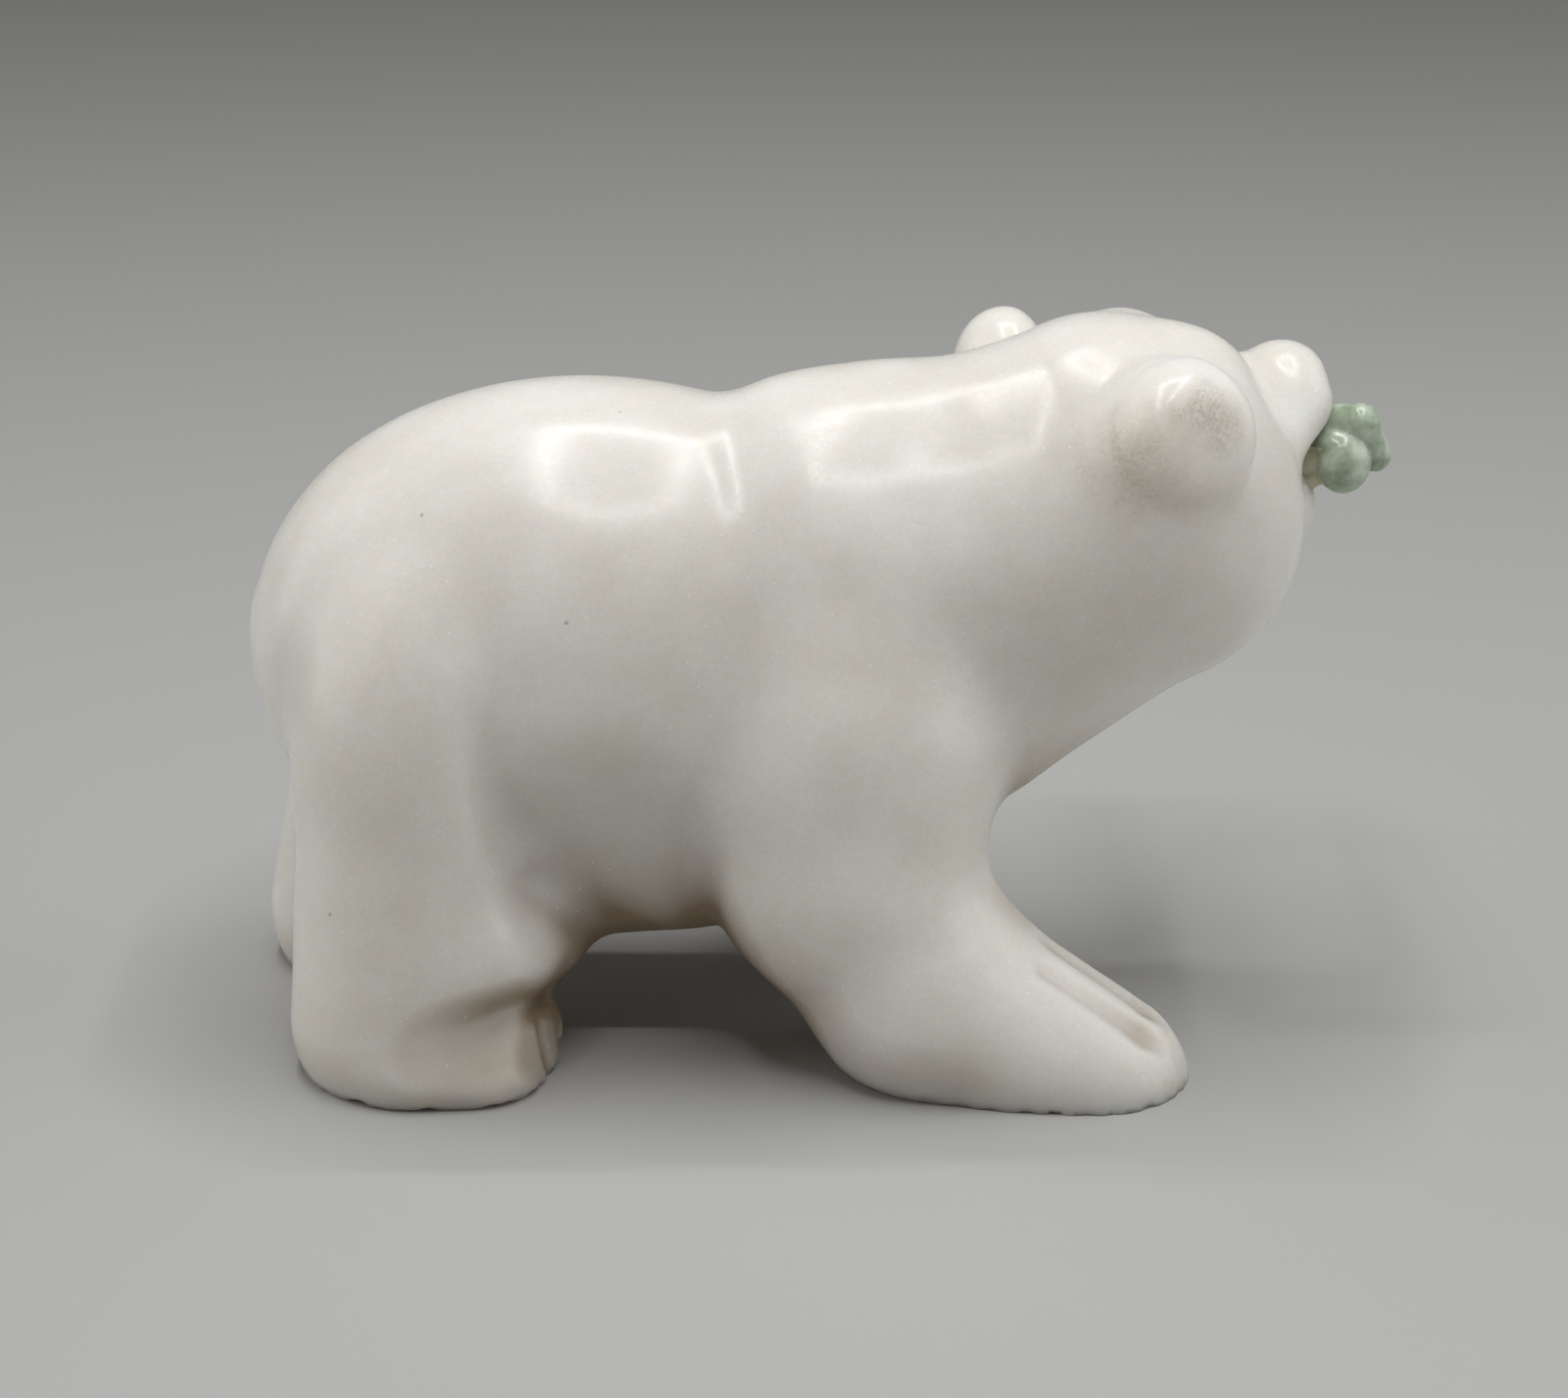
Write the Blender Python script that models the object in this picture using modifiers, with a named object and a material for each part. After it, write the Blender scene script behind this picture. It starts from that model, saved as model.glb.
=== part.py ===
"""A polar bear carved from one block of milky quartz, with a green stone fish across its mouth.

Metres, +Z up. The bear walks towards +X, its left side is +Y and its head is turned to its left.
The origin is on the floor, in the middle of the footprint.
"""

from collections import namedtuple
from math import atan2, cos, degrees, radians, sin

import bmesh
import bpy
import numpy as np
from mathutils import Euler, Matrix, Vector

# Driving dimensions, in metres.
BEAR_LENGTH = 0.1016  # rump to nose
FISH_LENGTH = 0.0185  # snout to tail
GLUE_GAP = 0.0003  # between the fish and the mouth that holds it

CREASE_ANGLE = radians(50)  # an edge that turns by more looks sharp

# Each carving is a free form, so its lumps are stated as parts of its own length: the bear is
# 101.6 of its parts long and the fish is 100 of its own.
BEAR_SHARE = BEAR_LENGTH / 101.6
FISH_SHARE = FISH_LENGTH / 100

# The grain of the first and the second mesh of each carving, in its own parts, and its facets.
BEAR_VOXELS = (2.0, 0.8)
FISH_VOXELS = (4.0, 2.0)
BEAR_TRIANGLES = 7700
FISH_TRIANGLES = 1000
SOLE_MARGIN = 0.4  # stone left under the soles until the facets are made

FAR = 1000.0  # outside everything
NEARBY = 14.0  # a form changes nothing further away from it than this

# A form is set in place by a matrix. An added form blends into the stone before it over the
# distance `blend`, and a carved one is taken out of it.
Egg = namedtuple("Egg", "place radii back blend carved")
Limb = namedtuple("Limb", "place length radii width blend carved")
# A group is shaped on its own first and then joined to the rest as one form.
Group = namedtuple("Group", "forms blend carved")

# The body's frame brings the middle of the footprint to the origin. The head turns to the left.
BODY = Matrix.Translation((-1.3, 0, 0))
HEAD = BODY @ Matrix.Translation((28.0, 5.0, 52.6)) @ Matrix.Rotation(radians(28), 4, "Z")
BITE = HEAD @ Matrix.Translation((21.35, 1.3, -0.2)) @ Matrix.Rotation(radians(90), 4, "Z")


def egg(centre, radii, turn=(0, 0, 0), back=None, blend=4.0, carved=False, within=BODY):
    """A rounded mass. `turn` is its roll, pitch and yaw in degrees, `back` its own radius behind."""
    tilt = Euler([radians(angle) for angle in turn]).to_matrix().to_4x4()
    place = within @ Matrix.Translation(centre) @ tilt
    return Egg(place, np.array(radii, float), back or radii[0], blend, carved)


def limb(start, end, start_radius, end_radius, width=1.0, blend=4.0, carved=False, within=BODY):
    """A tapered rod with round ends, from start to end. `width` is its width across, of its height."""
    start = within @ Vector(start)
    run = within @ Vector(end) - start
    place = Matrix.Translation(start) @ run.to_track_quat("X", "Z").to_matrix().to_4x4()
    return Limb(place, run.length, (start_radius, end_radius), width, blend, carved)


def torso():
    return [
        egg((-25, 0, 37.0), (26, 19.6, 23.35), back=26.1),
        egg((-13, 0, 34.3), (28, 19.4, 25.2), blend=8),
        egg((-47.7, 0, 33.0), (3.0, 4.5, 9.5), turn=(0, -11, 0), blend=1.0),
        egg((-23, 0, 20.5), (9, 9, 10.5), blend=6),
        egg((5.5, 0, 39.4), (16, 18.2, 22.9), back=28, blend=1.5),
        egg((-17, -36, 10), (26, 22, 30), blend=3, carved=True),
        egg((-17, 36, 10), (26, 22, 30), blend=3, carved=True),
    ]


def neck():
    return [
        limb((6, 0, 40.8), (27, 1, 50.2), 20.4, 16.5, width=0.82, blend=4),
        limb((14, 0, 36), (30, 1, 45), 13.1, 11.6, blend=5),
        egg((21, -6, 46.5), (13, 8.4, 9.5), blend=6),
    ]


def toe_lines(centre, radii, top_angle, run_up):
    """Three soft grooves from the front of a fore paw over its top, and back along `run_up`."""
    grooves = []
    for across in (-0.45, 0, 0.45):
        swell = (1 - across**2) ** 0.5 + 0.06
        start, end = [
            Vector(centre)
            + Vector((cos(angle) * swell * radii[0], across * radii[1], sin(angle) * swell * radii[2]))
            for angle in (radians(top_angle - 12), radians(top_angle))
        ]
        grooves.append(limb(start, end, 0.3, 0.6, blend=1.6, carved=True))
        grooves.append(limb(end, end + run_up, 0.6, 0.2, blend=1.8, carved=True))
    return grooves


def hind_foot(side, ankle):
    """A foot whose toes are cut off flat in front and parted by upright grooves."""
    toe_face = ankle + Vector((11.9, side * 7.5, -3.4))
    forms = [
        egg(ankle + Vector((1.3, side * 0.5, -2.0)), (12.2, 10.9, 6.8), back=10.2),
        egg(ankle + Vector((6.9, side * 1.0, -2.0)), (6.9, 9.6, 6.3), blend=2),
        egg(toe_face + Vector((38.4, side * 7.6, 8)), (40, 40, 40), blend=0.6, carved=True),
    ]
    for inwards in (4, 8, 12):
        low = toe_face + Vector((inwards / 5 + 0.6, -side * inwards, -3))
        high = toe_face + Vector((inwards / 5 - 0.8, -side * inwards, 4))
        forms.append(limb(low, high, 0.5, 0.5, blend=0.6, carved=True))
    return forms


def hind_leg(side, forward):
    hip = Vector((-34.5 + forward / 3, side * 11.3, 30))
    ankle = Vector((-36.6 + forward, side * 13, 5))

    def crease(start, end, radii, blend):
        ends = [ankle + Vector((x, side * y, z)) for x, y, z in (start, end)]
        return limb(*ends, *radii, blend=blend, carved=True)

    forms = hind_foot(side, ankle) + [
        egg(hip, (13, 11.5, 20), turn=(0, 4, 0), back=12, blend=5),
        limb(hip, ankle, 11.3, 10.8, blend=0.8),
        egg((hip.x + 8.5, side * 7, 17), (8, 7, 9.5), blend=4),
        egg(ankle + Vector((4.8, side * 0.2, 8.2)), (10.2, 9.0, 7.4), blend=2.5),
        egg(ankle + Vector((9.4, side * -3.5, 7.0)), (7.2, 6, 5.2), blend=2),
        crease((3.0, 12.9, 1.7), (11.4, 10.0, 1.9), (1.5, 2.2), blend=4.0),
        crease((11.8, 8.6, 3.2), (13.2, 1, 1.8), (1.6, 1.0), blend=0.8),
        egg((-10.7 + forward, side * 25, 24), (18, 14, 32), turn=(0, -17, 0), blend=1.5, carved=True),
    ]
    return [Group(forms, blend=2.5, carved=False)]


def fore_leg(side, elbow_x, wrist_x, toe_x, radius):
    shoulder = (3, side * 9, 30)
    elbow = (elbow_x, side * 11.5, 19)
    wrist = Vector((wrist_x, side * 13.5, 8.0))
    toes = Vector((toe_x, side * 15, -1.5))
    slope = degrees(atan2(toes.x - wrist.x, wrist.z - toes.z))
    forms = [
        egg(shoulder, (14, 13, 20), blend=6),
        limb(shoulder, elbow, 13.0, radius + 1.3, blend=5),
        limb(elbow, wrist, radius + 1.3, radius, blend=3),
        limb(wrist, toes, radius, radius - 0.6, blend=3),
        egg((-25.3, side * 25, 28), (18, 14, 34), turn=(0, 14, 0), blend=1.5, carved=True),
    ] + toe_lines(toes, [radius - 0.6] * 3, slope, run_up=(wrist - toes) * 0.6)
    return [Group(forms, blend=2.5, carved=False)]


def ear(side, centre, radii, back, root):
    return [
        egg((-3.6, side * 12.2, 1), root, blend=5, within=HEAD),
        egg(centre, radii, turn=(0, 0, -20 * side), back=back, blend=1.2, within=HEAD),
    ]


def head():
    forms = [
        egg((0, 0, 0), (13.2, 14, 12.2), blend=5, within=HEAD),
        limb((8, 0, 3.1), (17.6, 0, 4.0), 5.2, 4.4, width=1.12, blend=2, within=HEAD),
        egg((19.1, 0, 6.1), (3.4, 4.2, 2.9), blend=1, within=HEAD),
        limb((16.4, 0, -6.2), (14.2, 0, -11), 5.3, 5.3, width=1.2, blend=1.5, within=HEAD),
    ]
    for side in (-1, 1):
        forms += [
            egg((5, side * 6, -5.7), (9.5, 9, 10.8), blend=5, within=HEAD),
            egg((4.4, side * 5.6, 7.4), (5.0, 5.2, 5.0), blend=3, within=HEAD),
            limb((18.7, side * 3.6, 3.7), (12.8, side * 6.4, 0), 2.6, 2.8, blend=2.5, within=HEAD),
            egg((11.6, side * 4.7, 7.7), (1, 1, 1), blend=0.3, carved=True, within=HEAD),
            egg((23, side * 1.8, 5.2), (0.7, 0.7, 0.7), blend=0.3, carved=True, within=HEAD),
        ]
    forms += ear(-1, (-1.9, -14.6, 6.5), (4.8, 6.8, 6.9), back=8.5, root=(8, 6.5, 9))
    forms += ear(1, (-2.3, 15.0, 5.7), (3.9, 5.8, 5.7), back=5, root=(5, 5.5, 6))
    forms.append(egg((-3, -32.5, 14), (16, 13, 20), blend=2, carved=True, within=HEAD))
    return forms


def bear_forms():
    return (
        torso()
        + neck()
        + hind_leg(-1, 0)
        + hind_leg(1, -5.2)
        + fore_leg(-1, elbow_x=3.2, wrist_x=10.6, toe_x=25.8, radius=10.0)
        + fore_leg(1, elbow_x=2.5, wrist_x=6, toe_x=11.5, radius=9.6)
        + head()
    )


def fish_forms():
    """The fish lies along its own X with its tail at the start."""
    own = Matrix.Identity(4)
    return [
        egg((62, 0, 0), (38, 12, 15), back=46, within=own),
        limb((16, 0, 0), (40, 0, 0), 9, 11, blend=5, within=own),
        limb((26, -3, 10), (11.5, -13, 12), 9, 9.5, blend=3, within=own),
        limb((11.5, -13, 12), (11.5, -23, -7), 9.5, 8.2, blend=1.0, within=own),
        egg((12.6, -4.5, -8), (12.6, 14.6, 16.4), blend=0.8, within=own),
    ]


def fish_place():
    """From the fish's own parts to metres, in the bear's mouth."""
    across = BITE @ Matrix.Scale(FISH_SHARE / BEAR_SHARE, 4) @ Matrix.Translation((-51, 0, 0))
    return Matrix.Scale(BEAR_SHARE, 4) @ across


def distance_to(form, points):
    """How far each point is outside a form, below zero inside it."""
    inverse = np.array(form.place.inverted())
    local = points @ inverse[:3, :3].T + inverse[:3, 3]
    if isinstance(form, Limb):
        along = np.clip(local[:, 0] / form.length, 0, 1)
        local[:, 0] -= along * form.length
        local[:, 1] /= form.width
        return np.linalg.norm(local, axis=1) - form.radii[0] - along * (form.radii[1] - form.radii[0])
    local[:, 0] *= np.where(local[:, 0] < 0, form.radii[0] / form.back, 1)
    reach = np.linalg.norm(local / form.radii, axis=1)
    steepness = np.linalg.norm(local / form.radii**2, axis=1)
    return reach * (reach - 1) / np.maximum(steepness, 1e-6)


def distance_to_stone(points, forms):
    """How far each point is outside the blended stone. Forms that are far from a point are skipped."""
    total = np.full(len(points), FAR)
    for form in forms:
        if isinstance(form, Group):
            near = np.arange(len(points))
            distance = distance_to_stone(points, form.forms)
        else:
            if isinstance(form, Limb):
                middle = form.place @ Vector((form.length / 2, 0, 0))
                reach = form.length / 2 + max(form.radii)
            else:
                middle = form.place.translation
                reach = max(*form.radii, form.back)
            gap = ((points - np.array(middle)) ** 2).sum(axis=1)
            near = np.flatnonzero(gap < (reach + NEARBY) ** 2)
            distance = distance_to(form, points[near])
        sign = -1 if form.carved else 1
        first = sign * total[near]
        overlap = np.maximum(form.blend - np.abs(first - distance), 0) / form.blend
        total[near] = sign * (np.minimum(first, distance) - overlap**2 * form.blend / 4)
    return total


def settle(mesh, forms, growth, passes):
    """Moves each vertex along the slope of the field until it is `growth` outside the stone."""
    points = np.empty(len(mesh.vertices) * 3)
    mesh.vertices.foreach_get("co", points)
    points = points.reshape(-1, 3)
    step = 0.05
    for _ in range(passes):
        here = distance_to_stone(points, forms)
        slope = np.stack(
            [(distance_to_stone(points + step * axis, forms) - here) / step for axis in np.eye(3)], axis=1
        )
        steepness = np.maximum((slope**2).sum(axis=1), 0.25)
        points -= slope * ((here - growth) / steepness)[:, None]
    mesh.vertices.foreach_set("co", points.ravel())
    mesh.update()


def single_forms(forms):
    """Every form on its own, also those in groups."""
    for form in forms:
        if isinstance(form, Group):
            yield from single_forms(form.forms)
        else:
            yield form


def rough_block(forms):
    """One mesh of overlapping balls that fills every added form."""
    shape = bmesh.new()
    bmesh.ops.create_icosphere(shape, subdivisions=3, radius=1)
    ball = bpy.data.meshes.new("ball")
    shape.to_mesh(ball)
    shape.free()
    rough = bmesh.new()
    for form in single_forms(forms):
        if form.carved:
            continue
        if isinstance(form, Limb):
            places = [
                form.place
                @ Matrix.Translation((share * form.length, 0, 0))
                @ Matrix.Scale(form.radii[0] + share * (form.radii[1] - form.radii[0]), 4)
                for share in np.linspace(0, 1, 5)
            ]
        else:
            places = [form.place @ Matrix.Diagonal((*form.radii, 1))]
        for place in places:
            lump = ball.copy()
            lump.transform(place)
            rough.from_mesh(lump)
            bpy.data.meshes.remove(lump)
    mesh = bpy.data.meshes.new("rough_block")
    rough.to_mesh(mesh)
    rough.free()
    return mesh


def evaluated(mesh, kind, **settings):
    """A copy of the mesh with one modifier applied."""
    blank = bpy.data.objects.new("blank", mesh)
    bpy.context.scene.collection.objects.link(blank)
    modifier = blank.modifiers.new(kind, kind)
    for name, value in settings.items():
        setattr(modifier, name, value)
    graph = bpy.context.evaluated_depsgraph_get()
    result = bpy.data.meshes.new_from_object(blank.evaluated_get(graph))
    bpy.data.objects.remove(blank)
    return result


def carved_mesh(forms, voxels, growth=0):
    """The blended stone as one closed mesh."""
    mesh = rough_block(forms)
    for voxel in voxels:
        mesh = evaluated(mesh, "REMESH", mode="VOXEL", voxel_size=voxel)
        settle(mesh, forms, growth, passes=5)
    return mesh


def with_facets(mesh, triangles):
    """The mesh with about the given count of triangles."""
    ratio = min(triangles / (2 * len(mesh.polygons)), 1)
    return evaluated(mesh, "DECIMATE", ratio=ratio, use_collapse_triangulate=True)


def cut_flat(mesh, height):
    """Everything below the height goes, and each sole is closed with one flat face."""
    shape = bmesh.new()
    shape.from_mesh(mesh)
    everything = shape.verts[:] + shape.edges[:] + shape.faces[:]
    level = {"plane_co": (0, 0, height), "plane_no": (0, 0, -1)}
    cut = bmesh.ops.bisect_plane(shape, geom=everything, **level, clear_outer=True)
    rims = [item for item in cut["geom_cut"] if isinstance(item, bmesh.types.BMEdge)]
    bmesh.ops.holes_fill(shape, edges=rims)
    shape.to_mesh(mesh)
    shape.free()


def stone(name, colour, roughness):
    material = bpy.data.materials.new(name)
    material.use_nodes = True
    shader = material.node_tree.nodes["Principled BSDF"]
    shader.inputs["Base Color"].default_value = (*colour, 1)
    shader.inputs["Roughness"].default_value = roughness
    material.diffuse_color = (*colour, 1)
    return material


def main():
    for existing in list(bpy.data.objects):
        bpy.data.objects.remove(existing)
    carving = bpy.data.collections.new("polar_bear_carving")
    bpy.context.scene.collection.children.link(carving)
    cutters = bpy.data.collections.new("cutters")
    bpy.context.scene.collection.children.link(cutters)

    bear_mesh = carved_mesh(bear_forms(), BEAR_VOXELS)
    cut_flat(bear_mesh, -SOLE_MARGIN)
    bear_mesh = with_facets(bear_mesh, BEAR_TRIANGLES)
    cut_flat(bear_mesh, 0)
    bear_mesh.transform(Matrix.Scale(BEAR_SHARE, 4))
    bear_mesh.materials.append(stone("milky_quartz", (0.8, 0.8, 0.77), 0.3))
    bear = bpy.data.objects.new("polar_bear", bear_mesh)
    carving.objects.link(bear)

    fish_mesh = with_facets(carved_mesh(fish_forms(), FISH_VOXELS), FISH_TRIANGLES)
    fish_mesh.transform(fish_place())
    fish_mesh.materials.append(stone("green_stone", (0.14, 0.26, 0.13), 0.15))
    fish = bpy.data.objects.new("jade_fish", fish_mesh)
    carving.objects.link(fish)

    mouth_mesh = with_facets(carved_mesh(fish_forms(), FISH_VOXELS, GLUE_GAP / FISH_SHARE), FISH_TRIANGLES)
    mouth_mesh.transform(fish_place())
    mouth = bpy.data.objects.new("mouth", mouth_mesh)
    cutters.objects.link(mouth)
    mouth.hide_render = True
    mouth.display_type = "WIRE"
    bite = bear.modifiers.new("mouth", "BOOLEAN")
    bite.operation = "DIFFERENCE"
    bite.object = mouth

    for mesh in (bear_mesh, fish_mesh):
        mesh.shade_smooth()
        mesh.set_sharp_from_angle(angle=CREASE_ANGLE)
    return bear


if __name__ == "__main__":
    main()
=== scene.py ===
"""Looks of a polar bear carved from milky quartz, with a green stone fish glued in its mouth.

Metres, +Z up. The bear walks towards +X, its left side is +Y and its head is turned to its left.
"""

from collections import namedtuple
from math import atan2, cos, degrees, radians, sin

import bmesh
import bpy
import numpy as np
from mathutils import Euler, Matrix, Vector


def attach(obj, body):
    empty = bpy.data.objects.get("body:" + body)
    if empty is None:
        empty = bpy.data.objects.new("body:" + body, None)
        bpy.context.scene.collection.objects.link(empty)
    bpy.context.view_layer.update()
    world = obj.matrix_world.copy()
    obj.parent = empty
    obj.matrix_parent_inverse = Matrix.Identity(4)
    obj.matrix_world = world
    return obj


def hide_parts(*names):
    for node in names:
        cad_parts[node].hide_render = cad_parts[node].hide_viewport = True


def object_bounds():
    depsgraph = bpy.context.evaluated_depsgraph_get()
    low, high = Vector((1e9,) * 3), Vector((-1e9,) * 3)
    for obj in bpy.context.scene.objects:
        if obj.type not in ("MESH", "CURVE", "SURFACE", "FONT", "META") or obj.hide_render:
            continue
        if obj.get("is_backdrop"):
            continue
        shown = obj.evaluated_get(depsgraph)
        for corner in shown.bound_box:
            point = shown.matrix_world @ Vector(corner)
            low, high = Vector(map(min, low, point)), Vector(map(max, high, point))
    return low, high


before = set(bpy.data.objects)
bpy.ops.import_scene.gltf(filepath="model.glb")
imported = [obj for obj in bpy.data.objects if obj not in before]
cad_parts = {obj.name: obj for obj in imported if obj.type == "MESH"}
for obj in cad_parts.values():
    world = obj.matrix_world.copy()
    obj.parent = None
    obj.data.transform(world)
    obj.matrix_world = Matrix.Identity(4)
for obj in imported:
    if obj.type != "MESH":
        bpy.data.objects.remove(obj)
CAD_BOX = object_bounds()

bl_info = {
    "name": "Quartz Polar Bear Carving",
    "version": (1, 0, 0),
    "blender": (4, 5, 0),
    "location": "3D View > Sidebar > Carving",
    "description": "Builds a polished quartz bear with a stone fish in its mouth, on a plain stage",
    "category": "Add Mesh",
}

MM = 0.001

# The bear's lumps are stated in millimetres, the fish's in hundredths of its own length.
FISH_SHARE = 0.185

# The glue fills this gap round the fish. Its skin on the fish has the first thickness at the first
# distance from the lips, which is inside the mouth, and has run out at the second.
GLUE_GAP = 0.3
LIP_DISTANCES = (-0.5, 0.1)
GLUE_SKIN = (0.25, -0.30)

# The run of glue between the lips and the tail, in hundredths of the fish's length.
GLUE_RUN = 12.0
GLUE_SUNK = 0.6

# The grain of the first and the second mesh of each carving, in its own units.
BODY_VOXELS = (2.0, 1.15)
FISH_VOXELS = (4.0, 2.0)
BALLS_IN_LIMB = 5

# A vertex settles on the skin by the field's slope over this step, taken as at least this steep.
SLOPE_STEP = 0.05
LEAST_SLOPE_SQUARED = 0.25

CREASE_ANGLE = radians(50)  # an edge that turns by more looks sharp

FAR = 1000.0  # outside everything
NEARBY = 14.0  # a form changes nothing further away from it than this

# Wear, in millimetres: how high the hand-ground ripple is, and how the rims of the soles are worn.
WEAR_SEED = 11
RIPPLE = 0.035
RIPPLE_LENGTHS = (6, 14)
RIM_HEIGHT = 1.1
RIM_WEAR = 0.05
CHIP_DEPTH = 0.3
CHIP_LENGTHS = (1.2, 3.5)

# Painted shade: how hollows, places near the floor and undersides are painted darker and warmer in the
# quartz's colour, in millimetres and shares of that painted shade. Stone that closes in counts at each reach,
# and less with height. So does the floor up to its height, and undersides count in full from the belly's
# height up.
SHADE_REACHES = (2.0, 5.0, 11.0, 20.0)
REACHES_FOR_FULL = 3
SHADE_FADE = 30
LEAST_SHADE = 0.25
FLOOR_HEIGHT = 12
FLOOR_SHADE_SHARE = 0.28
BELLY_HEIGHT = 8
UNDERSIDE_SHADE_SHARE = 0.6

# Where the stone is stained, in the body's frame: an inclusion in the ear and the rough yellow skin left at
# the tip of the paw; and brown painted shade where the ear springs from the neck. Each has a name, a heart, a
# reach, a tint and the most that it covers.
STAINS_AND_SHADE = (
    ("grey_inclusion", (34.8, -13.6, 62.0), 3.0, "#85837C", 0.4),
    # Painted shade, brown, where the ear springs from the neck.
    ("brown_painted_shade", (27.5, -15.0, 58.0), 5.0, "#B9A48C", 0.4),
    ("yellow_skin", (33.6, -19.5, 0.5), 2.2, "#C9B98E", 0.7),
)
TINT_SEED = 23
TINT_EDGE = 0.3
TINT_EDGE_LENGTHS = (1.5, 5)

# Widths of the patterns in the materials, in metres.
QUARTZ_CLOUD = 0.016
PAINTED_GLINT_CELL = 0.0014
PIT_CELL = 0.008
GREEN_CLOUD = 0.0025
GLUE_CLOUD = 0.002
CARD_TOOTH = 0.0015

# The stage, in metres. The lamps form a ring over the carving, and a soft box stands on each side.
FLOOR_HALF = 3
BOX_SIZE = 0.9
BOX_PLACE = (0.8, -0.05, 0.35)
BOX_TILT = (radians(-7), radians(68))
RING_LEFT = -0.085
RING_RIGHT = 0.13
RING_FRONT = -0.25
RING_BACK = 0.14
STRIP_WIDTH = 0.014
AIM = (-0.00345, 0, 0.031)

# A form is set in place by a matrix. An added form blends into the stone before it over the
# distance `blend`, and a carved one is taken out of it.
Egg = namedtuple("Egg", "place radii back blend carved")
Limb = namedtuple("Limb", "place length radii width blend carved")
Group = namedtuple("Group", "forms blend carved")

# The body's frame brings the middle of the footprint to the origin. The head turns to the left.
BODY = Matrix.Translation((-1.3, 0, 0))
HEAD = BODY @ Matrix.Translation((28.0, 5.0, 52.6)) @ Matrix.Rotation(radians(28), 4, "Z")
BITE = HEAD @ Matrix.Translation((21.35, 1.3, -0.2)) @ Matrix.Rotation(radians(90), 4, "Z")
FISH = BITE @ Matrix.Scale(FISH_SHARE, 4) @ Matrix.Translation((-51, 0, 0))


def egg(centre, radii, turn=(0, 0, 0), back=None, blend=4.0, carved=False, within=BODY):
    """A rounded mass. `turn` is its roll, pitch and yaw in degrees, `back` its own radius behind."""
    tilt = Euler([radians(angle) for angle in turn]).to_matrix().to_4x4()
    place = within @ Matrix.Translation(centre) @ tilt
    return Egg(place, np.array(radii, float), back or radii[0], blend, carved)


def limb(start, end, start_radius, end_radius, width=1.0, blend=4.0, carved=False, within=BODY):
    """A tapered rod with round ends, from start to end. `width` is its width across, of its height."""
    start = within @ Vector(start)
    run = within @ Vector(end) - start
    place = Matrix.Translation(start) @ run.to_track_quat("X", "Z").to_matrix().to_4x4()
    return Limb(place, run.length, (start_radius, end_radius), width, blend, carved)


def torso():
    return [
        egg((-25, 0, 37.0), (26, 19.6, 23.35), back=26.1),
        egg((-13, 0, 34.3), (28, 19.4, 25.2), blend=8),
        egg((-47.7, 0, 33.0), (3.0, 4.5, 9.5), turn=(0, -11, 0), blend=1.0),
        egg((-23, 0, 20.5), (9, 9, 10.5), blend=6),
        egg((5.5, 0, 39.4), (16, 18.2, 22.9), back=28, blend=1.5),
        egg((-17, -36, 10), (26, 22, 30), blend=3, carved=True),
        egg((-17, 36, 10), (26, 22, 30), blend=3, carved=True),
    ]


def neck():
    return [
        limb((6, 0, 40.8), (27, 1, 50.2), 20.4, 16.5, width=0.82, blend=4),
        limb((14, 0, 36), (30, 1, 45), 13.1, 11.6, blend=5),
        egg((21, -6, 46.5), (13, 8.4, 9.5), blend=6),
    ]


def toe_lines(centre, radii, top_angle, run_up):
    """Three soft grooves from the front of a fore paw over its top, and back along `run_up`."""
    grooves = []
    for across in (-0.45, 0, 0.45):
        swell = (1 - across**2) ** 0.5 + 0.06
        start, end = [
            Vector(centre)
            + Vector((cos(angle) * swell * radii[0], across * radii[1], sin(angle) * swell * radii[2]))
            for angle in (radians(top_angle - 12), radians(top_angle))
        ]
        grooves.append(limb(start, end, 0.3, 0.6, blend=1.6, carved=True))
        grooves.append(limb(end, end + run_up, 0.6, 0.2, blend=1.8, carved=True))
    return grooves


def hind_foot(side, ankle):
    """A foot whose toes are cut off flat in front and parted by upright grooves."""
    toe_face = ankle + Vector((11.9, side * 7.5, -3.4))
    forms = [
        egg(ankle + Vector((1.3, side * 0.5, -2.0)), (12.2, 10.9, 6.8), back=10.2),
        egg(ankle + Vector((6.9, side * 1.0, -2.0)), (6.9, 9.6, 6.3), blend=2),
        egg(toe_face + Vector((38.4, side * 7.6, 8)), (40, 40, 40), blend=0.6, carved=True),
    ]
    for inwards in (4, 8, 12):
        low = toe_face + Vector((inwards / 5 + 0.6, -side * inwards, -3))
        high = toe_face + Vector((inwards / 5 - 0.8, -side * inwards, 4))
        forms.append(limb(low, high, 0.5, 0.5, blend=0.6, carved=True))
    return forms


def hind_leg(side, forward):
    hip = Vector((-34.5 + forward / 3, side * 11.3, 30))
    ankle = Vector((-36.6 + forward, side * 13, 5))

    def crease(start, end, radii, blend):
        ends = [ankle + Vector((x, side * y, z)) for x, y, z in (start, end)]
        return limb(*ends, *radii, blend=blend, carved=True)

    forms = hind_foot(side, ankle) + [
        egg(hip, (13, 11.5, 20), turn=(0, 4, 0), back=12, blend=5),
        limb(hip, ankle, 11.3, 10.8, blend=0.8),
        egg((hip.x + 8.5, side * 7, 17), (8, 7, 9.5), blend=4),
        egg(ankle + Vector((4.8, side * 0.2, 8.2)), (10.2, 9.0, 7.4), blend=2.5),
        egg(ankle + Vector((9.4, side * -3.5, 7.0)), (7.2, 6, 5.2), blend=2),
        crease((3.0, 12.9, 1.7), (11.4, 10.0, 1.9), (1.5, 2.2), blend=4.0),
        crease((11.8, 8.6, 3.2), (13.2, 1, 1.8), (1.6, 1.0), blend=0.8),
        egg((-10.7 + forward, side * 25, 24), (18, 14, 32), turn=(0, -17, 0), blend=1.5, carved=True),
    ]
    return [Group(forms, blend=2.5, carved=False)]


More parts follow.
